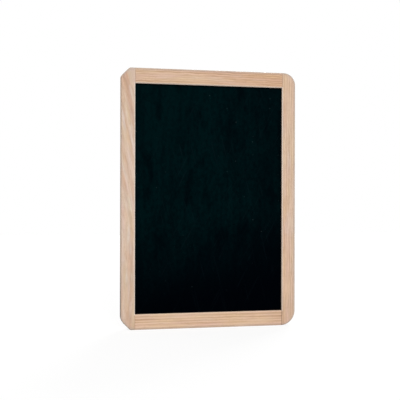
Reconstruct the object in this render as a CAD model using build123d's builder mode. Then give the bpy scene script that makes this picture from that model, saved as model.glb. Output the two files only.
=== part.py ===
# Framed writing slate: a stone plate held in the grooves of a wooden frame.
# Millimetres. X runs across the board, Y from the writing face to the back, and Z up.
# The origin is the middle of the bottom edge, halfway through the thickness.
import os

from build123d import *

os.makedirs("parts", exist_ok=True)

# Frame
board_width = 180.0
board_height = 260.0
frame_thickness = 10.0
stile_width = 14.0
rail_width = 15.3

# Outer corners, sanded by hand: the right pair is rounded, the left pair is cut across and blended
top_right_corner_radius = 12.3
bottom_right_corner_radius = 15.0
top_left_corner_cut = 8.4
top_left_side_blend = 3.5
bottom_left_corner_cut = 9.4
bottom_left_side_blend = 10.0
left_end_blend = 3.5

# Eased edges
outer_edge_radius = 1.0
sight_edge_bevel = 0.8
shoulder_bevel = 0.25

# Slate and its groove
slate_thickness = 3.0
slate_edge_bevel = 0.5
groove_depth = 5.0
slate_face_clearance = 0.1
slate_edge_clearance = 0.5

# Brads that pin the corner joints from the back and stop short of the front
brad_diameter = 1.6
brad_point_length = 1.6
brad_head_diameter = 2.8
brad_head_thickness = 0.7
brad_front_cover = 1.4
brad_from_shoulder = 4.5
brad_from_slot_end = 3.5

# Sizes that follow from those above
opening_width = board_width - 2 * stile_width
opening_height = board_height - 2 * rail_width
groove_width = slate_thickness + 2 * slate_face_clearance
slate_reach = groove_depth - slate_edge_clearance
slot_depth = rail_width - groove_depth
brad_shank_length = frame_thickness - brad_front_cover - brad_point_length
brad_spacing_across = opening_width + 2 * brad_from_shoulder
brad_spacing_up = opening_height + 2 * (groove_depth + brad_from_slot_end)

# The middle plane lies halfway through the board and faces the writer.
# The back plane faces the same way, so what stands on it goes into the wood.
mid_plane = Plane((0, 0, board_height / 2), x_dir=(1, 0, 0), z_dir=(0, -1, 0))
back_plane = mid_plane.offset(-frame_thickness / 2)

# Outside of the glued-up frame, with its corners shaped and its edges sanded round
with BuildPart() as sanded_blank:
    with BuildSketch(mid_plane) as outline:
        Rectangle(board_width, board_height)
        for end, radius in ((0, bottom_right_corner_radius), (-1, top_right_corner_radius)):
            right_corner = outline.vertices().group_by(Axis.X)[-1].sort_by(Axis.Y)[end]
            fillet(right_corner, radius=radius)
        for end, cut, side_blend in (
            (0, bottom_left_corner_cut, bottom_left_side_blend),
            (-1, top_left_corner_cut, top_left_side_blend),
        ):
            left_corner = outline.vertices().group_by(Axis.X)[0].sort_by(Axis.Y)[end]
            chamfer(left_corner, length=cut)
            cut_on_side = outline.vertices().group_by(Axis.X)[0].sort_by(Axis.Y)[end]
            fillet(cut_on_side, radius=side_blend)
            cut_on_end = outline.vertices().group_by(Axis.Y)[end].sort_by(Axis.X)[0]
            fillet(cut_on_end, radius=left_end_blend)
    extrude(amount=frame_thickness / 2, both=True)
    face_edges = sanded_blank.faces().filter_by(Axis.Y).edges()
    fillet(face_edges, radius=outer_edge_radius)

# Waste of the bevel that is run round the opening, on the front and on the back
with BuildPart() as opening_bevels:
    with Locations((0, -frame_thickness / 2, board_height / 2)):
        Wedge(
            opening_width + 2 * sight_edge_bevel,
            sight_edge_bevel,
            opening_height + 2 * sight_edge_bevel,
            sight_edge_bevel,
            sight_edge_bevel,
            opening_width + sight_edge_bevel,
            opening_height + sight_edge_bevel,
            align=(Align.CENTER, Align.MIN, Align.CENTER),
        )
    mirror(about=Plane.XZ)

# Four wire brads, with flat heads flush with the back
from_back = (Align.CENTER, Align.CENTER, Align.MIN)
with BuildPart(back_plane) as corner_brads:
    with GridLocations(brad_spacing_across, brad_spacing_up, 2, 2):
        Cylinder(brad_head_diameter / 2, brad_head_thickness, align=from_back)
        Cylinder(brad_diameter / 2, brad_shank_length, align=from_back)
        with Locations((0, 0, brad_shank_length)):
            Cone(brad_diameter / 2, 0, brad_point_length, align=from_back)
corner_brads.part.label = "corner_brads"
export_step(corner_brads.part, "parts/corner_brads.step")

# Stone plate, its edges bevelled so that it slides into the groove
with BuildPart() as slate_panel:
    with BuildSketch(mid_plane):
        Rectangle(opening_width + 2 * slate_reach, opening_height + 2 * slate_reach)
    extrude(amount=slate_thickness / 2, both=True)
    chamfer(slate_panel.faces().filter_by(Axis.Y).edges(), length=slate_edge_bevel)
slate_panel.part.label = "slate_panel"
export_step(slate_panel.part, "parts/slate_panel.step")

# Stiles run the full height: grooved along the inside, with each end sawn into an open slot
for name, side in (("left_stile", -1), ("right_stile", 1)):
    inner_edge = side * opening_width / 2
    middle = side * (opening_width + stile_width) / 2
    slot_middle = (board_height - slot_depth) / 2
    with BuildPart() as stile:
        with BuildSketch(mid_plane):
            with Locations((middle, 0)):
                Rectangle(stile_width, board_height)
        extrude(amount=frame_thickness / 2, both=True)
        with BuildSketch(mid_plane):
            with Locations((inner_edge, 0)):
                Rectangle(2 * groove_depth, board_height)
            with Locations((middle, slot_middle), (middle, -slot_middle)):
                Rectangle(stile_width, slot_depth)
        extrude(amount=groove_width / 2, both=True, mode=Mode.SUBTRACT)
        add(sanded_blank.part, mode=Mode.INTERSECT)
        add(opening_bevels.part, mode=Mode.SUBTRACT)
        add(corner_brads.part, mode=Mode.SUBTRACT)
    stile.part.label = name
    export_step(stile.part, f"parts/{name}.step")

# Rails butt between the stiles, and their tenons fill the slots right out to the sides
for name, end in (("bottom_rail", -1), ("top_rail", 1)):
    inner_edge = end * opening_height / 2
    middle = end * (opening_height + rail_width) / 2
    with BuildPart() as rail:
        with BuildSketch(mid_plane):
            with Locations((0, middle)):
                Rectangle(opening_width, rail_width)
        extrude(amount=frame_thickness / 2, both=True)
        chamfer(rail.edges().filter_by(Axis.Z), length=shoulder_bevel)
        with BuildSketch(mid_plane):
            with Locations((0, middle)):
                Rectangle(board_width, rail_width)
        extrude(amount=groove_width / 2, both=True)
        with BuildSketch(mid_plane):
            with Locations((0, inner_edge)):
                Rectangle(board_width, 2 * groove_depth)
        extrude(amount=groove_width / 2, both=True, mode=Mode.SUBTRACT)
        add(sanded_blank.part, mode=Mode.INTERSECT)
        add(opening_bevels.part, mode=Mode.SUBTRACT)
        add(corner_brads.part, mode=Mode.SUBTRACT)
    rail.part.label = name
    export_step(rail.part, f"parts/{name}.step")
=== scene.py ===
import math

import bpy
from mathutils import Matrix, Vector


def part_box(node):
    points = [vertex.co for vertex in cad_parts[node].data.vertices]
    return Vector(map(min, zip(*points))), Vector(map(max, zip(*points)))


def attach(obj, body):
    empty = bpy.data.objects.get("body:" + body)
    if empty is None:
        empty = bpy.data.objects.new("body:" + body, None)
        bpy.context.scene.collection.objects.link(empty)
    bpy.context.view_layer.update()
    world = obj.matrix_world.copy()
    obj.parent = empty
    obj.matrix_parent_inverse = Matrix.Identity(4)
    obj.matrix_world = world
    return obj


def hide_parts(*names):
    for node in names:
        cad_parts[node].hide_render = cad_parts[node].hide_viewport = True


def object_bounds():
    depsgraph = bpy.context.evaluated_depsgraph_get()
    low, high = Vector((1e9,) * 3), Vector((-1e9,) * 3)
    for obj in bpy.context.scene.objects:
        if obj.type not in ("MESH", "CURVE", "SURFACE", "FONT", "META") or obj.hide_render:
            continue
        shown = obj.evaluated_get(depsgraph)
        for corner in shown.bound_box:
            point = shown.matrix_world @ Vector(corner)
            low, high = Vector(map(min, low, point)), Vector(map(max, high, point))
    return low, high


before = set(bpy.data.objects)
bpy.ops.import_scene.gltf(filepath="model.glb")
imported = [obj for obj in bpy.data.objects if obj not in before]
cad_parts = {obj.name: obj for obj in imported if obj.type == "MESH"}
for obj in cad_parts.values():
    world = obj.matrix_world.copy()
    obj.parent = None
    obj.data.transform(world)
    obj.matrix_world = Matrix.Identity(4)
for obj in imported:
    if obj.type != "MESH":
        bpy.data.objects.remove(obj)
cadBox = [list(corner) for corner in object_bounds()]
boardMiddle = (Vector(cadBox[0]) + Vector(cadBox[1])) / 2
print("frame loaded:", ", ".join(sorted(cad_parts)))

mm = 0.001
perMetre = (1 / mm, 1 / mm, 1 / mm)    # metres to millimetres
origin = (0.0, 0.0, 0.0)
white = (1.0, 1.0, 1.0, 1.0)
noiseMiddle = 0.5                      # noise runs from 0 to 1 round this


# 0 to 255 as seen on screen, to the linear colour that a socket takes
def srgb(red, green, blue):
    linear = []
    for level in (red / 255, green / 255, blue / 255):
        linear.append(level / 12.92 if level <= 0.04045 else ((level + 0.055) / 1.055) ** 2.4)
    return (*linear, 1.0)


# small helpers, so that a node tree reads as a list of what feeds what
def feed(tree, node, inputs):
    for key, value in inputs.items():
        if isinstance(value, bpy.types.NodeSocket):
            tree.links.new(value, node.inputs[key])
        else:
            node.inputs[key].default_value = value


def addNode(tree, kind, inputs=None, **settings):
    node = tree.nodes.new(kind)
    for key, value in settings.items():
        setattr(node, key, value)
    feed(tree, node, inputs or {})
    return node


def calc(tree, operation, first, second=0.0, third=0.0, clamp=False):
    inputs = {0: first, 1: second, 2: third}
    return addNode(tree, "ShaderNodeMath", inputs, operation=operation, use_clamp=clamp).outputs[0]


def times(tree, value, *factors):
    for factor in factors:
        value = calc(tree, "MULTIPLY", value, factor)
    return value


def vectorCalc(tree, operation, first, second=origin):
    node = addNode(tree, "ShaderNodeVectorMath", {0: first, 1: second}, operation=operation)
    return node.outputs["Value" if operation in ("DOT_PRODUCT", "LENGTH") else "Vector"]


def split(tree, vector):
    return addNode(tree, "ShaderNodeSeparateXYZ", {0: vector}).outputs


def join(tree, x=0.0, y=0.0, z=0.0):
    return addNode(tree, "ShaderNodeCombineXYZ", {"X": x, "Y": y, "Z": z}).outputs[0]


def remap(tree, value, start, end, toStart=0.0, toEnd=1.0, style="LINEAR"):
    inputs = {"Value": value, "From Min": start, "From Max": end, "To Min": toStart, "To Max": toEnd}
    return addNode(tree, "ShaderNodeMapRange", inputs, interpolation_type=style).outputs[0]


def ease(tree, value, start, end, toStart=0.0, toEnd=1.0):
    return remap(tree, value, start, end, toStart, toEnd, "SMOOTHSTEP")


# the stretch says how fast the noise changes along each axis
def noise(tree, place, stretch, detail=2.0, roughness=0.5):
    stretched = vectorCalc(tree, "MULTIPLY", place, stretch)
    inputs = {"Vector": stretched, "Scale": 1.0, "Detail": detail, "Roughness": roughness}
    return addNode(tree, "ShaderNodeTexNoise", inputs).outputs["Fac"]


# the colour sockets of a Mix node share their names, so they go by number
def tint(tree, amount, first, second, mode="MIX"):
    node = addNode(tree, "ShaderNodeMix", data_type="RGBA", blend_type=mode)
    feed(tree, node, {0: amount, 6: first, 7: second})
    return node.outputs[2]


def newTree(kind, name, inputs, outputs):
    tree = bpy.data.node_groups.new(name, kind)
    socketTypes = {tuple: "NodeSocketVector", int: "NodeSocketInt", float: "NodeSocketFloat"}
    for label, value in inputs.items():
        socketType = socketTypes[type(value)]
        tree.interface.new_socket(label, in_out="INPUT", socket_type=socketType).default_value = value
    for label, socketType in outputs.items():
        tree.interface.new_socket(label, in_out="OUTPUT", socket_type=socketType)
    return tree, addNode(tree, "NodeGroupInput").outputs, addNode(tree, "NodeGroupOutput")


def newGroup(name, inputs, outputs):
    return newTree("ShaderNodeTree", name, inputs, {label: "NodeSocketFloat" for label in outputs})


def placeGroup(tree, group, inputs):
    return addNode(tree, "ShaderNodeGroup", inputs, node_tree=group).outputs


def emptyTree(owner):
    owner.use_nodes = True
    owner.node_tree.nodes.clear()
    return owner.node_tree


def newMaterial(name):
    material = bpy.data.materials.new(name)
    tree = emptyTree(material)
    surface = addNode(tree, "ShaderNodeBsdfPrincipled")
    addNode(tree, "ShaderNodeOutputMaterial", {"Surface": surface.outputs["BSDF"]})
    return material, tree, surface


def objectInMm(tree, coords):
    return vectorCalc(tree, "MULTIPLY", coords["Object"], perMetre)


def roughen(tree, surface, height, strength, depth):
    bump = addNode(tree, "ShaderNodeBump", {"Height": height, "Strength": strength, "Distance": depth})
    feed(tree, surface, {"Normal": bump.outputs[0]})


def addToScene(name, data):
    thing = bpy.data.objects.new(name, data)
    bpy.context.scene.collection.objects.link(thing)
    return thing


# how the wood grows, the same in every stick
woodGrowth = {
    # change per mm along the stick, across it and into it, then detail and roughness
    "patterns": {
        "drift": ((0.011, 0.045, 0.045), 2.0, 0.45),    # slow wander of the rings
        "shiver": ((0.08, 0.25, 0.25), 1.0, 0.5),       # and their short waves
        "fibre": ((0.1, 0.9, 0.9), 3.0, 0.6),
        "cloud": ((0.016, 0.13, 0.13), 2.0, 0.5),
        "blotch": ((0.04, 0.22, 0.22), 1.0, 0.5),
        "hue": ((0.03, 0.19, 0.3), 2.0, 0.5),
    },
    "seedStep": 517.0,                   # mm of pattern between one seed and the next
    "seasonRate": 0.6,                   # how often wide and narrow years change over, per year
    "vigour": (0.5, 1.0),                # late wood of the faintest year and of the strongest
    "fleckStretch": (0.28, 1.5, 1.5),    # rays, seen as short dark dashes
    "fleckless": 0.45,                   # share of the cells that hold no fleck
    "fleckSize": (0.14, 0.28),           # full up to the first, gone from the other on
    "fibreHeight": 0.6, "ringHeight": 0.25, "fleckHeight": -0.35,    # shares of the bump
}


# growth rings of a sawn stick in mm, with X along the grain, Y across the face and Z into the wood
def makeSawnGrain():
    inputs = {
        "Position": origin, "Seed": 0.0, "Pith Across": 60.0, "Pith Depth": 20.0,
        "Ring Gap": 2.2, "Ring Shift": 0.0, "Uneven": 1.4, "Late Start": 0.15, "Late Peak": 0.86,
        "Wander": 1.5, "Shiver": 0.55,
        "Knee": 0.0, "Knee Round": 20.0, "Slope Below": 0.0, "Slope Above": 0.0,
    }
    outputs = ["Rings", "Fibre", "Flecks", "Cloud", "Blotch", "Hue", "Height"]
    tree, taken, given = newGroup("sawnGrain", inputs, outputs)
    axes = split(tree, taken["Position"])
    # the grain bends along a hyperbola, as on a flat-sawn face
    below, above = taken["Slope Below"], taken["Slope Above"]
    meanSlope = times(tree, calc(tree, "ADD", below, above), 0.5)
    halfTurn = times(tree, calc(tree, "SUBTRACT", below, above), 0.5)
    run = calc(tree, "SUBTRACT", axes["X"], taken["Knee"])
    reach = vectorCalc(tree, "LENGTH", join(tree, run, taken["Knee Round"]))
    sweep = calc(tree, "SUBTRACT", times(tree, meanSlope, run), times(tree, halfTurn, reach))
    across = calc(tree, "SUBTRACT", axes["Y"], sweep)
    along = calc(tree, "MULTIPLY_ADD", taken["Seed"], woodGrowth["seedStep"], axes["X"])
    place = join(tree, along, across, axes["Z"])
    patterns = {name: noise(tree, place, *look) for name, look in woodGrowth["patterns"].items()}
    # years from the pith, on rings that wander
    wave = times(tree, calc(tree, "SUBTRACT", patterns["drift"], noiseMiddle), taken["Wander"])
    shiver = calc(tree, "SUBTRACT", patterns["shiver"], noiseMiddle)
    wave = calc(tree, "MULTIPLY_ADD", shiver, taken["Shiver"], wave)
    aside = calc(tree, "ADD", calc(tree, "SUBTRACT", across, taken["Pith Across"]), wave)
    fromPith = join(tree, aside, calc(tree, "SUBTRACT", axes["Z"], taken["Pith Depth"]))
    year = calc(tree, "DIVIDE", vectorCalc(tree, "LENGTH", fromPith), taken["Ring Gap"])
    year = calc(tree, "ADD", year, taken["Ring Shift"])
    # some years are wide and some narrow, some strong and some faint
    season = addNode(tree, "ShaderNodeTexNoise", {
        "W": times(tree, year, woodGrowth["seasonRate"]), "Scale": 1.0, "Detail": 1.0,
    }, noise_dimensions="1D").outputs["Fac"]
    year = calc(tree, "MULTIPLY_ADD", season, taken["Uneven"], year)
    vigour = addNode(tree, "ShaderNodeTexWhiteNoise", {"W": calc(tree, "FLOOR", year)},
                     noise_dimensions="1D").outputs["Value"]
    # late wood darkens up to its peak, then fades until the year ends
    phase = calc(tree, "FRACT", year)
    darkening = ease(tree, phase, taken["Late Start"], taken["Late Peak"])
    fading = ease(tree, phase, taken["Late Peak"], 1.0, 1.0, 0.0)
    rings = times(tree, darkening, fading, remap(tree, vigour, 0.0, 1.0, *woodGrowth["vigour"]))
    fleckPlace = vectorCalc(tree, "MULTIPLY", place, woodGrowth["fleckStretch"])
    cells = addNode(tree, "ShaderNodeTexVoronoi", {"Vector": fleckPlace, "Scale": 1.0}).outputs
    some = calc(tree, "GREATER_THAN", split(tree, cells["Color"])["X"], woodGrowth["fleckless"])
    full, gone = woodGrowth["fleckSize"]
    flecks = times(tree, ease(tree, cells["Distance"], gone, full), some)
    height = times(tree, rings, woodGrowth["ringHeight"])
    height = calc(tree, "MULTIPLY_ADD", patterns["fibre"], woodGrowth["fibreHeight"], height)
    height = calc(tree, "MULTIPLY_ADD", flecks, woodGrowth["fleckHeight"], height)
    feed(tree, given, {
        "Rings": rings, "Flecks": flecks, "Height": height, "Fibre": patterns["fibre"],
        "Cloud": patterns["cloud"], "Blotch": patterns["blotch"], "Hue": patterns["hue"]})
    return tree


# how an edge is told by its normal
edgeReading = {
    "gain": 4.0,              # brings a 45 degree slope up to 1
    "lean": 0.08,             # a normal that leans less faces neither out nor in
    "upright": (0.1, 0.4),    # square of the facing: a side up to the first, none from the other on
}


# broken edges: Outer round the outside, Inner round the opening and Shoulder at the rails' ends,
# then the Side of the board, the Wall of the opening, and Corner where the outline turns
def makeEasedEdge():
    inputs = {"Normal": (0.0, 0.0, 1.0), "Outward": (1.0, 0.0, 0.0)}
    outputs = ["Outer", "Inner", "Shoulder", "Side", "Wall", "Corner"]
    tree, taken, given = newGroup("easedEdge", inputs, outputs)
    normal = split(tree, taken["Normal"])
    square = times(tree, normal["Y"], normal["Y"])
    # 1 on a 45 degree slope between a face and a side, 0 on both
    slope = times(tree, square, calc(tree, "SUBTRACT", 1.0, square))
    slope = calc(tree, "MULTIPLY", slope, edgeReading["gain"], clamp=True)
    outward = vectorCalc(tree, "NORMALIZE", taken["Outward"])
    lean = vectorCalc(tree, "DOT_PRODUCT", taken["Normal"], outward)
    outer = calc(tree, "GREATER_THAN", lean, edgeReading["lean"])
    inner = calc(tree, "LESS_THAN", lean, -edgeReading["lean"])
    shoulder = calc(tree, "SUBTRACT", 1.0, calc(tree, "ADD", outer, inner))
    upright = ease(tree, square, *edgeReading["upright"], 1.0, 0.0)
    diagonal = calc(tree, "ABSOLUTE", times(tree, normal["X"], normal["Z"]))
    feed(tree, given, {
        "Outer": times(tree, slope, outer), "Inner": times(tree, slope, inner),
        "Shoulder": times(tree, slope, shoulder),
        "Side": times(tree, upright, outer), "Wall": times(tree, upright, inner),
        "Corner": calc(tree, "MULTIPLY", diagonal, edgeReading["gain"], clamp=True)})
    return tree


# each point takes the value of the corner of the board that it is nearest to
def atCorner(tree, axes, middle, values):
    onRight = calc(tree, "GREATER_THAN", axes["X"], 0.0)
    atTop = calc(tree, "GREATER_THAN", axes["Z"], middle)

    def pick(test, whenNo, whenYes):
        return calc(tree, "MULTIPLY_ADD", test, calc(tree, "SUBTRACT", whenYes, whenNo), whenNo)

    low = pick(onRight, values["Bottom Left"], values["Bottom Right"])
    high = pick(onRight, values["Top Left"], values["Top Right"])
    return pick(atTop, low, high)


# where the joints are, how dark each one has gone, and how far the marks beside them reach, in mm
seams = {
    "Half Width": abs(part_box("left_stile")[1].x) / mm,
    "Low Seam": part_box("bottom_rail")[1].z / mm,
    "High Seam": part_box("top_rail")[0].z / mm,
    "Top Left": 0.12, "Top Right": 0.0, "Bottom Left": 0.1, "Bottom Right": 0.85,
    "Line Start": -0.2, "Line Spread": 1.1,    # the line begins a little inside the opening
    "Full": 0.3,                               # spot and rim are full up to here
    "Spot": 1.6, "Spot Level": 0.8,            # dirt in the corner of the opening
    "Halo": 24.0, "Halo Level": 0.26,
    "Rim": 1.8,
}


# glue and dirt along the joint lines and in the corners of the opening, the Strength that each joint
# has, and the Rim of the opening, which takes rubbed wear and a painted highlight
def makeJointStain():
    inputs = {"Position": origin, **seams}
    tree, taken, given = newGroup("jointStain", inputs, ["Stain", "Strength", "Rim"])
    axes = split(tree, taken["Position"])
    low, high = taken["Low Seam"], taken["High Seam"]
    strength = atCorner(tree, axes, times(tree, calc(tree, "ADD", low, high), 0.5), taken)
    aside = calc(tree, "SUBTRACT", calc(tree, "ABSOLUTE", axes["X"]), taken["Half Width"])
    # how far below or above the opening: more than nothing beside a joint
    past = calc(tree, "MAXIMUM", calc(tree, "SUBTRACT", low, axes["Z"]),
                calc(tree, "SUBTRACT", axes["Z"], high))
    line = ease(tree, calc(tree, "ABSOLUTE", aside), 0.0, taken["Line Spread"], 1.0, 0.0)
    line = times(tree, line, calc(tree, "GREATER_THAN", past, taken["Line Start"]))
    fromCorner = vectorCalc(tree, "LENGTH", join(tree, aside, past))
    spot = ease(tree, fromCorner, taken["Full"], taken["Spot"], taken["Spot Level"], 0.0)
    halo = ease(tree, fromCorner, 0.0, taken["Halo"], taken["Halo Level"], 0.0)
    worst = calc(tree, "MAXIMUM", calc(tree, "MAXIMUM", line, spot), halo)
    outside = join(tree, calc(tree, "MAXIMUM", aside, 0.0), calc(tree, "MAXIMUM", past, 0.0))
    fromOpening = vectorCalc(tree, "LENGTH", outside)
    feed(tree, given, {
        "Stain": times(tree, worst, strength), "Strength": strength,
        "Rim": ease(tree, fromOpening, taken["Full"], taken["Rim"], 1.0, 0.0)})
    return tree


# the outline in mm, with the round of each corner: one that is cut across counts as a round of like size
outlineCorners = {
    "Half Width": cadBox[1][0] / mm, "Half Height": boardMiddle.z / mm,
    "Top Left": 14.3, "Top Right": 12.3, "Bottom Left": 16.0, "Bottom Right": 15.0,
    "Full": 0.8, "Gone": 3.0,    # how far inside it the rim is still full, and gone
}


# a band along the outline, on the faces only, with a round at each corner
def makeOutlineBand():
    inputs = {"Position": origin, "Normal": (0.0, 1.0, 0.0), **outlineCorners}
    tree, taken, given = newGroup("outlineBand", inputs, ["Rim"])
    axes = split(tree, taken["Position"])
    radius = atCorner(tree, axes, taken["Half Height"], taken)

    def pastCorner(distance, half):
        beyond = calc(tree, "SUBTRACT", calc(tree, "ABSOLUTE", distance), half)
        return calc(tree, "ADD", beyond, radius)

    across = pastCorner(axes["X"], taken["Half Width"])
    up = pastCorner(calc(tree, "SUBTRACT", axes["Z"], taken["Half Height"]), taken["Half Height"])
    inCorner = join(tree, calc(tree, "MAXIMUM", across, 0.0), calc(tree, "MAXIMUM", up, 0.0))
    turning = vectorCalc(tree, "LENGTH", inCorner)
    running = calc(tree, "MINIMUM", calc(tree, "MAXIMUM", across, up), 0.0)
    inside = calc(tree, "SUBTRACT", radius, calc(tree, "ADD", turning, running))
    rim = ease(tree, inside, taken["Full"], taken["Gone"], 1.0, 0.0)
    facing = split(tree, taken["Normal"])["Y"]
    feed(tree, given, {"Rim": times(tree, rim, times(tree, facing, facing))})
    return tree


# hairline marks left by use, all leaning much the same way
def makeHairlines():
    inputs = {
        "Position": origin, "Turn": origin, "Stretch": (0.03, 1.0, 1.0), "Patch": 0.1,
        "Faint": 0.64, "Bold": 0.72,    # only the crests of the noise become lines
    }
    tree, taken, given = newGroup("hairlines", inputs, ["Marks"])
    turning = {"Vector": taken["Position"], "Rotation": taken["Turn"]}
    turned = addNode(tree, "ShaderNodeVectorRotate", turning, rotation_type="EULER_XYZ").outputs[0]
    streak = noise(tree, turned, taken["Stretch"])
    patch = addNode(tree, "ShaderNodeTexNoise", {"Vector": turned, "Scale": taken["Patch"]}).outputs["Fac"]
    feed(tree, given, {"Marks": times(tree, ease(tree, streak, taken["Faint"], taken["Bold"]), patch)})
    return tree


sawnGrain = makeSawnGrain()
easedEdge = makeEasedEdge()
jointStain = makeJointStain()
outlineBand = makeOutlineBand()
hairlines = makeHairlines()
print("shader groups ready")

# the degrees that lay the grain along a stick, the ways out of the board that it faces, and its ends
upStick = {"turn": (90, 0, 90), "outward": (1.0, 0.0, 1.0), "endAxis": "Z"}
acrossStick = {"turn": (-90, 0, 0), "outward": (0.0, 0.0, 1.0), "endAxis": "X"}
# the four sticks of the frame, each cut from its own plank: what its grain is like, its three woods,
# and how much of each finish, painted highlight and painted shade shows on it
frameSticks = {
    "left_stile": {
        **upStick,
        "grain": {
            "Seed": 1.0, "Pith Across": -150.0, "Pith Depth": 46.0, "Ring Gap": 6.5, "Ring Shift": 0.33,
            "Uneven": 1.6, "Late Start": 0.0, "Late Peak": 0.5, "Wander": 3.2, "Shiver": 1.0,
            "Knee": 110.0, "Knee Round": 18.0, "Slope Below": 0.02, "Slope Above": -0.22,
        },
        "pale": srgb(212, 187, 166), "dark": srgb(187, 153, 128), "ringDepth": 0.95, "fibres": 1.7,
        "warm": srgb(190, 154, 128), "warmDepth": 1.0,
        "warmLean": (0.0, 0.0, 0.016), "warmSpan": (1.7, 2.7),    # growth of the warmth per mm, its limits
        "patches": 0.8, "rubAndHighlight": 1.3, "greyed": 0.3,
        "handledAndShaded": (0.4, 1.0),    # along the straight edges and round the corners
        # slanting wedges of other wood: a pale one at the top, a brown one at the bottom
        "wedges": [
            {"paint": "sapwood", "share": 1.0, "lean": (0.967, 0.0, 0.254), "span": (-17.4, -15.0)},
            {"paint": "blush", "share": 0.6, "lean": (0.0, 0.0, -1.0), "span": (-55.0, -22.0)},
        ],
    },
    "right_stile": {
        **upStick,
        "grain": {
            "Seed": 2.0, "Pith Across": 170.0, "Pith Depth": -30.0, "Ring Gap": 1.75, "Ring Shift": 0.0,
            "Uneven": 0.3, "Late Start": 0.15, "Late Peak": 0.85, "Wander": 1.1, "Shiver": 1.5,
            "Knee": 130.0, "Knee Round": 60.0, "Slope Below": 0.012, "Slope Above": -0.01,
        },
        "pale": srgb(216, 189, 164), "dark": srgb(160, 126, 98), "ringDepth": 0.9, "fibres": 1.4,
        "warm": srgb(222, 181, 148), "warmDepth": 0.6,
        "warmLean": (-0.07, 0.0, -0.003), "warmSpan": (0.2, 1.2),
        "patches": 0.3, "rubAndHighlight": 1.0, "greyed": 1.0, "handledAndShaded": (0.6, 0.8),
        "wedges": [{"paint": "blush", "share": 0.5, "lean": (0.0, 0.0, 1.0), "span": (198.0, 226.0)}],
    },
    "top_rail": {
        **acrossStick,
        "grain": {
            "Seed": 3.0, "Pith Across": 300.0, "Pith Depth": 30.0, "Ring Gap": 1.95, "Ring Shift": 0.0,
            "Uneven": 0.35, "Late Start": 0.15, "Late Peak": 0.85, "Wander": 1.5, "Shiver": 2.2,
            "Knee": 0.0, "Knee Round": 60.0, "Slope Below": 0.01, "Slope Above": -0.012,
        },
        "pale": srgb(211, 179, 152), "dark": srgb(174, 135, 104), "ringDepth": 1.1, "fibres": 1.2,
        "warm": srgb(207, 163, 130), "warmDepth": 0.6,
        "warmLean": (0.007, 0.0, 0.0), "warmSpan": (0.1, 1.1),
        "patches": 0.2, "rubAndHighlight": 1.0, "greyed": 1.0, "handledAndShaded": (0.7, 0.7), "wedges": [],
    },
    "bottom_rail": {
        **acrossStick,
        "grain": {
            "Seed": 4.0, "Pith Across": -60.0, "Pith Depth": 12.0, "Ring Gap": 2.8, "Ring Shift": 0.0,
            "Uneven": 0.3, "Late Start": 0.15, "Late Peak": 0.85, "Wander": 0.8, "Shiver": 1.6,
            "Knee": 0.0, "Knee Round": 60.0, "Slope Below": 0.014, "Slope Above": -0.012,
        },
        "pale": srgb(226, 194, 166), "dark": srgb(188, 148, 116), "ringDepth": 1.05, "fibres": 1.0,
        "warm": srgb(217, 177, 145), "warmDepth": 0.35,
        "warmLean": (0.004, 0.0, 0.0), "warmSpan": (0.1, 1.1),
        "patches": 0.25, "rubAndHighlight": 0.3, "greyed": 1.0, "handledAndShaded": (0.0, 0.3), "wedges": [],
    },
}
woodFinish = {
    # what lies over the plain wood, painted highlight and shade among it: its colour, and how much of it
    # shows at full strength
    "paints": {
        "blush": (srgb(208, 170, 140), 0.5),       # warm patches along the grain
        "bleach": (srgb(214, 203, 194), 0.5),      # and pale greyish ones between them
        "sapwood": (srgb(206, 182, 166), 0.85),
        "fleck": (srgb(150, 110, 82), 0.3),
        "endGrain": (srgb(172, 134, 104), 0.4),    # drinks in dirt and looks darker
        "rubAndHighlight": (srgb(244, 230, 217), 0.5),      # pale arris round the opening: rubbed wear and a painted highlight, weaker on the bottom rail, which the lamps light
        "greyed": (srgb(165, 155, 152), 0.33),     # faint band along the outline of the faces
        "handledAndShaded": (srgb(168, 150, 133), 1.0),     # and the greyer outer arris beside it: handling wear and painted shade where the round turns away from the light
        # painted shade on the board's sides, with some dirt, darker towards the bottom and on the left
        "sideDirtAndShade": (srgb(92, 78, 66), 1.0),
        "wallDustAndShade": (srgb(44, 38, 34), 0.9),          # slate dust and painted shade on the walls of the opening, darkest next to the slate
        "glue": (srgb(104, 72, 50), 0.55),
    },
    "fibreTone": {"Red": (0.92, 1.08), "Green": (0.9, 1.09), "Blue": (0.88, 1.1)},
    "hueTone": {"Red": (1.0, 1.0), "Green": (1.018, 0.982), "Blue": (0.92, 1.08)},    # yellowish to pinkish
    # a span holds the two readings between which an effect comes in
    "toneSpan": (0.25, 0.75), "blushSpan": (0.5, 0.7), "bleachSpan": (0.48, 0.3),
    "ringSpan": (0.35, 0.6), "ringFade": 0.35,              # rings come and go along the stick
    "endGrainSpan": (0.6, 0.95), "endRough": 0.2,
    "endArrisSpan": (0.2, 0.6), "endArris": 0.6,            # more of the handled arris, with its painted shade, at the sawn ends
    "endGreyed": (4.0, 14.0),                               # mm from an end: full, then the stick's share
    "openingRim": 0.4,                                      # share of the rub and painted highlight beside the arris
    # mm up the board, and the dirt and painted shade on each side at both heights: darker low down, and on
    # the left
    "sideDirtAndShadeRise": (18.0, 80.0), "sideDirtAndShadeLeft": (0.8, 0.25), "sideDirtAndShadeRight": (0.3, 0.1),
    "cornerDirtAndShade": 0.75,                                     # share of it round the corners
    "wallDustAndShadeRise": (0.5, 1.9), "wallDustAndShadeLevels": (1.0, 0.3),     # mm above the slate
    "rough": (0.62, 0.48), "gloss": 0.3, "bumpStrength": 0.6, "bumpDepth": 0.08 * mm,
}
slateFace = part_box("slate_panel")[1].y / mm    # both faces of the slate lie this far from the middle


def shade(tree, colour, mask, paint, share=1.0):
    pigment, depth = woodFinish["paints"][paint]
    return tint(tree, calc(tree, "MULTIPLY", mask, depth * share, clamp=True), colour, pigment)


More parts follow.
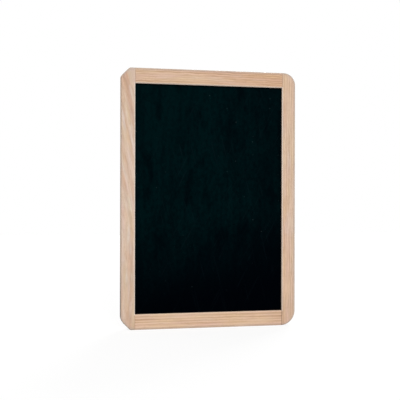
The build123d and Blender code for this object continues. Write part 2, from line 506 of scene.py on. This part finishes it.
def toned(tree, colour, value, tone, share=1.0):
    factors = {}
    for channel, (low, high) in woodFinish[tone].items():
        swing = (1 + (low - 1) * share, 1 + (high - 1) * share)
        factors[channel] = remap(tree, value, *woodFinish["toneSpan"], *swing)
    return tint(tree, 1.0, colour, addNode(tree, "ShaderNodeCombineColor", factors).outputs[0], "MULTIPLY")


def colourPlainWood(tree, stick, grain, inMm, fromCentre):
    # early wood, warmed in clouds and towards one end or side of the stick
    toward = vectorCalc(tree, "DOT_PRODUCT", fromCentre, stick["warmLean"])
    warmth = ease(tree, calc(tree, "ADD", toward, grain["Cloud"]), *stick["warmSpan"])
    early = tint(tree, times(tree, warmth, stick["warmDepth"]), stick["pale"], stick["warm"])
    # late wood in rings that come and go along the stick
    plain = remap(tree, grain["Cloud"], *woodFinish["ringSpan"], woodFinish["ringFade"], 1.0)
    colour = tint(tree, times(tree, grain["Rings"], plain, stick["ringDepth"]), early, stick["dark"])
    for paint in ("blush", "bleach"):
        patch = ease(tree, grain["Blotch"], *woodFinish[paint + "Span"])
        colour = shade(tree, colour, patch, paint, stick["patches"])
    for wedge in stick["wedges"]:
        inside = ease(tree, vectorCalc(tree, "DOT_PRODUCT", inMm, wedge["lean"]), *wedge["span"])
        colour = shade(tree, colour, inside, wedge["paint"], wedge["share"])
    colour = toned(tree, colour, grain["Hue"], "hueTone")
    colour = toned(tree, colour, grain["Fibre"], "fibreTone", stick["fibres"])
    return shade(tree, colour, grain["Flecks"], "fleck")


# the opening's arris pale with wear and painted highlight, a band along the outline, and the outer arris
# darkened with handling and painted shade
def edgesWornLitAndShaded(tree, stick, colour, edge, seam, outline, endwise, fromEnd):
    opening = calc(tree, "MULTIPLY_ADD", seam["Rim"], woodFinish["openingRim"], edge["Inner"])
    colour = shade(tree, colour, opening, "rubAndHighlight", stick["rubAndHighlight"])
    greyed = ease(tree, fromEnd, *woodFinish["endGreyed"], 1.0, stick["greyed"])
    colour = shade(tree, colour, times(tree, outline["Rim"], greyed), "greyed")
    # painted shade with handling wear on the outer arris, heavier on the top rail than on the bottom one
    handledAndShaded = remap(tree, edge["Corner"], 0.0, 1.0, *stick["handledAndShaded"])
    sawn = ease(tree, endwise, *woodFinish["endArrisSpan"])
    handledAndShaded = calc(tree, "MULTIPLY_ADD", sawn, woodFinish["endArris"], handledAndShaded)
    return shade(tree, colour, times(tree, edge["Outer"], handledAndShaded), "handledAndShaded")


# darker sides and opening walls, partly dirt and partly painted shade, then glue in the joints
def settleDirtAndShade(tree, stick, colour, inMm, edge, seam):
    axes = split(tree, inMm)
    # the sides' dirt and painted shade go by place on the board, so a tenon's end is as dark as the stile
    # round it
    sides = zip(woodFinish["sideDirtAndShadeLeft"], woodFinish["sideDirtAndShadeRight"])
    halfWidth = seams["Half Width"]
    levels = [remap(tree, axes["X"], -halfWidth, halfWidth, left, right) for left, right in sides]
    soiledAndShaded = ease(tree, axes["Z"], *woodFinish["sideDirtAndShadeRise"], *levels)
    soiledAndShaded = times(tree, soiledAndShaded, remap(tree, edge["Corner"], 0.0, 1.0, 1.0, woodFinish["cornerDirtAndShade"]))
    colour = shade(tree, colour, times(tree, edge["Side"], soiledAndShaded), "sideDirtAndShade")
    # painted shade with slate dust down the walls of the opening, darkest where they meet the slate
    aboveSlate = calc(tree, "SUBTRACT", calc(tree, "ABSOLUTE", axes["Y"]), slateFace)
    dustyAndShaded = ease(tree, aboveSlate, *woodFinish["wallDustAndShadeRise"], *woodFinish["wallDustAndShadeLevels"])
    colour = shade(tree, colour, times(tree, edge["Wall"], dustyAndShaded), "wallDustAndShade")
    stain = seam["Stain"]
    if stick["endAxis"] == "X":    # the rails' shoulders are stained too
        stain = calc(tree, "MAXIMUM", stain, times(tree, edge["Shoulder"], seam["Strength"]))
    return shade(tree, colour, stain, "glue")


def makeFrameWood(name, stick):
    material, tree, surface = newMaterial(name + "Wood")
    coords = addNode(tree, "ShaderNodeTexCoord").outputs
    normal = coords["Normal"]
    inMm = objectInMm(tree, coords)
    turn = [math.radians(angle) for angle in stick["turn"]]
    turned = addNode(tree, "ShaderNodeMapping", {"Vector": inMm, "Rotation": turn}).outputs[0]
    grain = placeGroup(tree, sawnGrain, {"Position": turned, **stick["grain"]})
    fromMiddle = vectorCalc(tree, "SUBTRACT", coords["Object"], boardMiddle)
    outward = vectorCalc(tree, "MULTIPLY", fromMiddle, stick["outward"])
    edge = placeGroup(tree, easedEdge, {"Normal": normal, "Outward": outward})
    seam = placeGroup(tree, jointStain, {"Position": inMm})
    outline = placeGroup(tree, outlineBand, {"Position": inMm, "Normal": normal})
    low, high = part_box(name)
    fromCentre = vectorCalc(tree, "SUBTRACT", inMm, (low + high) / 2 / mm)
    toEnd = calc(tree, "ABSOLUTE", split(tree, fromCentre)[stick["endAxis"]])
    fromEnd = calc(tree, "SUBTRACT", max(high - low) / 2 / mm, toEnd)
    endwise = calc(tree, "ABSOLUTE", split(tree, normal)[stick["endAxis"]])
    endGrain = ease(tree, endwise, *woodFinish["endGrainSpan"])
    colour = colourPlainWood(tree, stick, grain, inMm, fromCentre)
    colour = shade(tree, colour, endGrain, "endGrain")
    colour = edgesWornLitAndShaded(tree, stick, colour, edge, seam, outline, endwise, fromEnd)
    colour = settleDirtAndShade(tree, stick, colour, inMm, edge, seam)
    rough = remap(tree, grain["Fibre"], 0.0, 1.0, *woodFinish["rough"])
    feed(tree, surface, {
        "Base Color": colour, "Specular IOR Level": woodFinish["gloss"],
        "Roughness": calc(tree, "MULTIPLY_ADD", endGrain, woodFinish["endRough"], rough)})
    roughen(tree, surface, grain["Height"], woodFinish["bumpStrength"], woodFinish["bumpDepth"])
    return material


for nodeName, stick in frameSticks.items():
    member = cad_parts[nodeName]
    member.data.materials.clear()
    member.data.materials.append(makeFrameWood(nodeName, stick))
print("frame sticks finished")


# a Geometry Nodes tree runs once, and its result is kept as a plain mesh
def growPiece(name, tree, values):
    piece = addToScene(name, bpy.data.meshes.new(name))
    modifier = piece.modifiers.new(name, "NODES")
    modifier.node_group = tree
    for socket in tree.interface.items_tree:
        if socket.in_out == "INPUT":
            modifier[socket.identifier] = values[socket.name]
    evaluated = piece.evaluated_get(bpy.context.evaluated_depsgraph_get())
    mesh = bpy.data.meshes.new_from_object(evaluated)
    mesh.name = name
    piece.modifiers.clear()
    piece.data = mesh
    return piece


def newGeometry(name, inputs):
    tree, taken, given = newTree("GeometryNodeTree", name, inputs, {"Geometry": "NodeSocketGeometry"})
    tree.interface.new_socket("Material", in_out="INPUT", socket_type="NodeSocketMaterial")
    return tree, taken, given


def closeTree(tree, taken, given, geometry):
    real = addNode(tree, "GeometryNodeRealizeInstances", {"Geometry": geometry}).outputs[0]
    painted = addNode(tree, "GeometryNodeSetMaterial", {"Geometry": real, "Material": taken["Material"]})
    feed(tree, given, {"Geometry": painted.outputs[0]})


# the slate: a split plate of stone, rubbed smooth, with a faint wiped haze and a painted sheen, brightest at
# the top left
slatePlate = {
    "columns": 82, "layers": 4, "rows": 121,
    "rimBevel": 0.5 * mm, "faceLayer": 0.49,          # only the faces lie this share of the thickness out
    "relief": 0.07 * mm, "reliefScale": 45.0, "chip": 0.25 * mm, "chipScale": 260.0,
    # the bare stone, and the colour it takes under the wiped haze and painted sheen
    "stone": srgb(0.6, 0.5, 3.4), "hazeAndSheen": srgb(1.0, 17.0, 19.0),
    "sheenRise": (21.0, 126.0), "sheenLean": -0.2,      # painted sheen: mm up the board, less towards the right
    # the painted sheen's falloff towards the right
    "sheenRight": (-10.0, 90.0), "sheenRightLevel": 0.6,
    # what thins the haze: change per mm, detail, limits of the noise, and what is left of the haze at them
    "hazePatterns": {
        "cloud": ((0.03, 0.03, 0.02), 2.0, (0.3, 0.7), (0.65, 1.1), "LINEAR"),
        "wipe": ((0.2, 0.2, 0.016), 2.0, (0.3, 0.7), (0.7, 1.12), "LINEAR"),
        "smear": ((0.07, 0.07, 0.028), 2.0, (0.52, 0.68), (1.0, 0.5), "SMOOTHSTEP"),
        "mottle": ((0.4, 0.4, 0.28), 3.0, (0.3, 0.7), (0.6, 1.3), "LINEAR"),
    },
    "mark": srgb(16, 28, 32), "markDepth": 0.5, "markLeans": (62.0, 104.0),
    "markStretch": (0.02, 1.2, 1.2), "markPatch": 0.03,
    "speck": srgb(74, 88, 90), "dustDepth": 0.3,
    "dustSpread": 0.11, "dustShare": 0.06,            # cells per mm, and how many of them hold a grain
    "dustSize": (0.04, 0.09), "faceShift": 300.0,     # in cells, and mm one way in front, the other behind
    "cleft": ((0.35, 0.35, 0.2), 5.0, 0.6), "cleftSpan": (0.2, 0.8), "rough": (0.52, 0.42),
    "gloss": 0.007, "glossTint": (0.06, 0.85, 1.0, 1.0), "bumpStrength": 0.35, "bumpDepth": 0.12 * mm,
}


# wiped chalk, with a painted sheen that fades towards the bottom and the right
def chalkHazeAndSheen(tree, place, axes):
    rise = calc(tree, "MULTIPLY_ADD", axes["X"], slatePlate["sheenLean"], axes["Z"])
    hazeWithSheen = times(tree, ease(tree, rise, *slatePlate["sheenRise"]),
                 ease(tree, axes["X"], *slatePlate["sheenRight"], 1.0, slatePlate["sheenRightLevel"]))
    for stretch, detail, limits, levels, style in slatePlate["hazePatterns"].values():
        pattern = noise(tree, place, stretch, detail)
        hazeWithSheen = times(tree, hazeWithSheen, remap(tree, pattern, *limits, *levels, style))
    return hazeWithSheen


def hairlineMarks(tree, place):
    marks = 0.0
    for lean in slatePlate["markLeans"]:
        scratch = placeGroup(tree, hairlines, {
            "Position": place, "Turn": (0.0, math.radians(lean), 0.0),
            "Stretch": slatePlate["markStretch"], "Patch": slatePlate["markPatch"]})
        marks = calc(tree, "MAXIMUM", marks, scratch["Marks"])
    return marks


# a few grains of chalk, spread differently over the two faces
def chalkGrains(tree, axes):
    shifted = calc(tree, "MULTIPLY_ADD", calc(tree, "SIGN", axes["Y"]), slatePlate["faceShift"], axes["X"])
    flat = {"Vector": join(tree, shifted, axes["Z"]), "Scale": slatePlate["dustSpread"]}
    cells = addNode(tree, "ShaderNodeTexVoronoi", flat, voronoi_dimensions="2D").outputs
    luck = split(tree, cells["Color"])
    some = calc(tree, "LESS_THAN", luck["X"], slatePlate["dustShare"])
    size = remap(tree, luck["Y"], 0.0, 1.0, *slatePlate["dustSize"])
    return times(tree, ease(tree, cells["Distance"], 0.0, size, 1.0, 0.0), some)


def makeSlateStone():
    material, tree, surface = newMaterial("slateStone")
    place = objectInMm(tree, addNode(tree, "ShaderNodeTexCoord").outputs)
    axes = split(tree, place)
    colour = tint(tree, chalkHazeAndSheen(tree, place, axes), slatePlate["stone"], slatePlate["hazeAndSheen"])
    marks = hairlineMarks(tree, place)
    colour = tint(tree, times(tree, marks, slatePlate["markDepth"]), colour, slatePlate["mark"])
    dust = times(tree, chalkGrains(tree, axes), slatePlate["dustDepth"])
    colour = tint(tree, dust, colour, slatePlate["speck"])
    cleft = noise(tree, place, *slatePlate["cleft"])
    feed(tree, surface, {
        "Base Color": colour,
        "Roughness": remap(tree, cleft, *slatePlate["cleftSpan"], *slatePlate["rough"]),
        "Specular IOR Level": slatePlate["gloss"], "Specular Tint": slatePlate["glossTint"]})
    relief = calc(tree, "SUBTRACT", cleft, marks)
    roughen(tree, surface, relief, slatePlate["bumpStrength"], slatePlate["bumpDepth"])
    return material


def makeSlatePlate():
    inputs = {
        "Size": (0.1, 0.1, 0.1), "Middle": origin, "Columns": 2, "Layers": 2, "Rows": 2,
        "Rim Bevel": 0.0, "Face Layer": 0.5,
        "Relief": 0.0, "Relief Scale": 1.0, "Chip": 0.0, "Chip Scale": 1.0,
    }
    tree, taken, given = newGeometry("splitStone", inputs)
    slab = addNode(tree, "GeometryNodeMeshCube", {
        "Size": taken["Size"], "Vertices X": taken["Columns"], "Vertices Y": taken["Layers"],
        "Vertices Z": taken["Rows"]}).outputs["Mesh"]
    spot = addNode(tree, "GeometryNodeInputPosition").outputs[0]
    normal = addNode(tree, "GeometryNodeInputNormal").outputs[0]
    facing = split(tree, normal)["Y"]
    onFace = times(tree, facing, facing)
    # both faces are drawn in a little, so that the rim is bevelled
    size, at = split(tree, taken["Size"]), split(tree, spot)
    layer = times(tree, size["Y"], taken["Face Layer"])
    outside = calc(tree, "GREATER_THAN", calc(tree, "ABSOLUTE", at["Y"]), layer)
    pull = times(tree, taken["Rim Bevel"], outside, -2.0)    # the rim lies half a size from the middle
    acrossIn, upIn = [calc(tree, "DIVIDE", times(tree, at[axis], pull), size[axis]) for axis in "XZ"]
    drawIn = join(tree, acrossIn, 0.0, upIn)
    # the faces sink in slow waves, and the rim is nibbled
    waves = addNode(tree, "ShaderNodeTexNoise", {
        "Vector": spot, "Scale": taken["Relief Scale"], "Detail": 3.0})
    nibble = addNode(tree, "ShaderNodeTexNoise", {"Vector": spot, "Scale": taken["Chip Scale"]})
    sink = times(tree, waves.outputs[0], taken["Relief"], onFace)
    chip = times(tree, nibble.outputs[0], taken["Chip"], calc(tree, "SUBTRACT", 1.0, onFace))
    inward = times(tree, calc(tree, "ADD", sink, chip), -1.0)
    wear = vectorCalc(tree, "MULTIPLY", normal, join(tree, inward, inward, inward))
    offset = vectorCalc(tree, "ADD", wear, drawIn)
    worn = addNode(tree, "GeometryNodeSetPosition", {"Geometry": slab, "Offset": offset}).outputs[0]
    smooth = addNode(tree, "GeometryNodeSetShadeSmooth", {"Geometry": worn}).outputs[0]
    placed = addNode(tree, "GeometryNodeTransform", {"Geometry": smooth, "Translation": taken["Middle"]})
    closeTree(tree, taken, given, placed.outputs[0])
    low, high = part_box("slate_panel")
    return growPiece("slatePlate", tree, {
        "Size": high - low, "Middle": (low + high) / 2, "Columns": slatePlate["columns"],
        "Layers": slatePlate["layers"], "Rows": slatePlate["rows"], "Rim Bevel": slatePlate["rimBevel"],
        "Face Layer": slatePlate["faceLayer"],
        "Relief": slatePlate["relief"], "Relief Scale": slatePlate["reliefScale"],
        "Chip": slatePlate["chip"], "Chip Scale": slatePlate["chipScale"], "Material": makeSlateStone()})


slate = makeSlatePlate()
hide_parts("slate_panel")
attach(slate, "root")
print("slate finished:", len(slate.data.polygons), "faces")

# wire brads driven from the back, one in each corner
bradWire = {
    "headDiameter": 2.8 * mm, "headThickness": 0.7 * mm,
    "headRim": 0.22 * mm, "headDome": 0.8,    # depth of the rounded rim, share of the radius it starts from
    "wireDiameter": 1.6 * mm, "pointLength": 1.6 * mm, "fit": 0.03 * mm, "rings": 60, "sides": 20,
    "steel": srgb(186, 182, 174), "tarnish": srgb(128, 118, 106),
    "mottle": ((1.8, 1.8, 1.8), 3.0), "tarnishSpan": (0.35, 0.7),
    "markTurn": 20.0, "markStretch": (0.4, 6.0, 6.0), "markPatch": 0.5,
    "rough": (0.3, 0.5), "roughSpan": (0.3, 0.7), "markRough": 0.2,
    "bumpStrength": 0.4, "bumpDepth": 0.05 * mm,
}


def makeBradSteel():
    material, tree, surface = newMaterial("bradSteel")
    place = objectInMm(tree, addNode(tree, "ShaderNodeTexCoord").outputs)
    mottle = noise(tree, place, *bradWire["mottle"])
    marks = placeGroup(tree, hairlines, {
        "Position": place, "Turn": (0.0, math.radians(bradWire["markTurn"]), 0.0),
        "Stretch": bradWire["markStretch"], "Patch": bradWire["markPatch"]})["Marks"]
    tarnished = ease(tree, mottle, *bradWire["tarnishSpan"])
    rough = remap(tree, mottle, *bradWire["roughSpan"], *bradWire["rough"])
    feed(tree, surface, {
        "Base Color": tint(tree, tarnished, bradWire["steel"], bradWire["tarnish"]), "Metallic": 1.0,
        "Roughness": calc(tree, "MULTIPLY_ADD", marks, bradWire["markRough"], rough)})
    relief = calc(tree, "SUBTRACT", mottle, marks)
    roughen(tree, surface, relief, bradWire["bumpStrength"], bradWire["bumpDepth"])
    return material


def makeCornerBrads():
    inputs = {
        "Across": 0.1, "Up": 0.1, "Middle": origin, "Length": 0.01, "Head Radius": 0.001,
        "Head Thickness": 0.001, "Head Rim": 0.0001, "Head Dome": 1.0, "Wire Radius": 0.001,
        "Point Length": 0.001, "Rings": 8, "Sides": 8,
    }
    tree, taken, given = newGeometry("wireBrads", inputs)
    grid = addNode(tree, "GeometryNodeMeshGrid", {
        "Size X": taken["Across"], "Size Y": taken["Up"], "Vertices X": 2, "Vertices Y": 2})
    corners = addNode(tree, "GeometryNodeTransform", {
        "Geometry": grid.outputs["Mesh"], "Translation": taken["Middle"],
        "Rotation": (math.radians(90), 0.0, 0.0)}).outputs[0]
    # one brad: a line from head to point, with its radius worked out along the way
    tip = join(tree, 0.0, times(tree, taken["Length"], -1.0))
    wire = addNode(tree, "GeometryNodeCurvePrimitiveLine", {"End": tip}).outputs[0]
    wire = addNode(tree, "GeometryNodeResampleCurve", {"Curve": wire, "Count": taken["Rings"]}).outputs[0]
    depth = addNode(tree, "GeometryNodeSplineParameter").outputs["Length"]
    fromTip = calc(tree, "DIVIDE", calc(tree, "SUBTRACT", taken["Length"], depth), taken["Point Length"])
    shank = times(tree, taken["Wire Radius"], calc(tree, "MINIMUM", fromTip, 1.0))
    dome = ease(tree, depth, 0.0, taken["Head Rim"], taken["Head Dome"], 1.0)
    head = times(tree, taken["Head Radius"], dome)
    inHead = calc(tree, "LESS_THAN", depth, taken["Head Thickness"])
    radius = calc(tree, "MULTIPLY_ADD", inHead, calc(tree, "SUBTRACT", head, shank), shank)
    circle = addNode(tree, "GeometryNodeCurvePrimitiveCircle", {"Resolution": taken["Sides"], "Radius": 1.0})
    brad = addNode(tree, "GeometryNodeCurveToMesh", {
        "Curve": wire, "Profile Curve": circle.outputs[0], "Scale": radius, "Fill Caps": True}).outputs[0]
    brads = addNode(tree, "GeometryNodeInstanceOnPoints", {"Points": corners, "Instance": brad}).outputs[0]
    closeTree(tree, taken, given, brads)
    low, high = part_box("corner_brads")
    span = high - low
    return growPiece("cornerBrads", tree, {
        "Across": span.x - bradWire["headDiameter"], "Up": span.z - bradWire["headDiameter"],
        "Middle": Vector((0.0, high.y, (low.z + high.z) / 2)), "Length": span.y,
        "Head Radius": bradWire["headDiameter"] / 2 - bradWire["fit"],
        "Head Thickness": bradWire["headThickness"], "Head Rim": bradWire["headRim"],
        "Head Dome": bradWire["headDome"], "Wire Radius": bradWire["wireDiameter"] / 2 - bradWire["fit"],
        "Point Length": bradWire["pointLength"], "Rings": bradWire["rings"], "Sides": bradWire["sides"],
        "Material": makeBradSteel()})


brads = makeCornerBrads()
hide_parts("corner_brads")
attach(brads, "root")
print("brads finished:", len(brads.data.polygons), "faces")

# the floor, the light and the camera
studio = {
    "ambient": 0.36,
    "floorGrey": 0.65,                       # the floor as it lights the object
    "floorGlow": 0.82, "floorShade": 0.2,    # and as it is seen: white, with room for a shadow
    "floorHalf": 2.0,
    "lamps": {    # power in watts, size and place in metres
        "keyLight": {"power": 152.0, "size": 2.5, "at": (0.75, -4.42, 2.3)},
        "backFill": {"power": 56.0, "size": 1.5, "at": (1.23, 2.13, 1.72)},
        "sideFill": {"power": 2.0, "size": 0.3, "at": (-0.57, -0.1, 0.82)},
    },
}


# camera, glossy and transmission rays meet the plain white backdrop, and the rest the room's own light
def showBackdrop(tree, room, backdrop, outputKind):
    path = addNode(tree, "ShaderNodeLightPath").outputs
    direct = calc(tree, "MAXIMUM", path["Is Camera Ray"], path["Is Glossy Ray"])
    direct = calc(tree, "MAXIMUM", direct, path["Is Transmission Ray"])
    mix = addNode(tree, "ShaderNodeMixShader", {0: direct, 1: room.outputs[0], 2: backdrop.outputs[0]})
    addNode(tree, outputKind, {"Surface": mix.outputs[0]})


def makeWorld():
    world = bpy.data.worlds.new("studioWorld")
    bpy.context.scene.world = world
    tree = emptyTree(world)
    room = addNode(tree, "ShaderNodeBackground", {"Color": white, "Strength": studio["ambient"]})
    backdrop = addNode(tree, "ShaderNodeBackground", {"Color": white, "Strength": 1.0})
    showBackdrop(tree, room, backdrop, "ShaderNodeOutputWorld")


def makeFloor():
    half = studio["floorHalf"]
    corners = [(-half, -half, 0), (half, -half, 0), (half, half, 0), (-half, half, 0)]
    mesh = bpy.data.meshes.new("studioFloor")
    mesh.from_pydata(corners, [], [(0, 1, 2, 3)])
    floor = addToScene("studioFloor", mesh)
    material = bpy.data.materials.new("paleFloor")
    tree = emptyTree(material)
    grey, shadow = studio["floorGrey"], studio["floorShade"]
    lit = addNode(tree, "ShaderNodeBsdfDiffuse", {"Color": (grey, grey, grey, 1.0)})
    shaded = addNode(tree, "ShaderNodeBsdfDiffuse", {"Color": (shadow, shadow, shadow, 1.0)})
    glow = addNode(tree, "ShaderNodeEmission", {"Color": white, "Strength": studio["floorGlow"]})
    seen = addNode(tree, "ShaderNodeAddShader", {0: shaded.outputs[0], 1: glow.outputs[0]})
    showBackdrop(tree, lit, seen, "ShaderNodeOutputMaterial")
    mesh.materials.append(material)


def makeLamps():
    for name, look in studio["lamps"].items():
        lamp = bpy.data.lights.new(name, "AREA")
        lamp.energy = look["power"]
        lamp.size = look["size"]
        holder = addToScene(name, lamp)
        holder.location = look["at"]
        holder.rotation_euler = (boardMiddle - holder.location).to_track_quat("-Z", "Y").to_euler()


camera = {
    "lens": 67.5, "sensor": 36.0,
    "at": (-163.8 * mm, -745.0 * mm, 128.9 * mm), "turn": (90.0, -0.12, -11.71),    # in degrees
}


def makeCamera():
    lens = bpy.data.cameras.new("photoCamera")
    lens.lens = camera["lens"]
    lens.sensor_width = camera["sensor"]
    viewer = addToScene("photoCamera", lens)
    viewer.location = camera["at"]
    viewer.rotation_euler = [math.radians(angle) for angle in camera["turn"]]
    bpy.context.scene.camera = viewer


makeWorld()
makeFloor()
makeLamps()
makeCamera()
bpy.context.scene.view_settings.view_transform = "Standard"
print("studio ready")
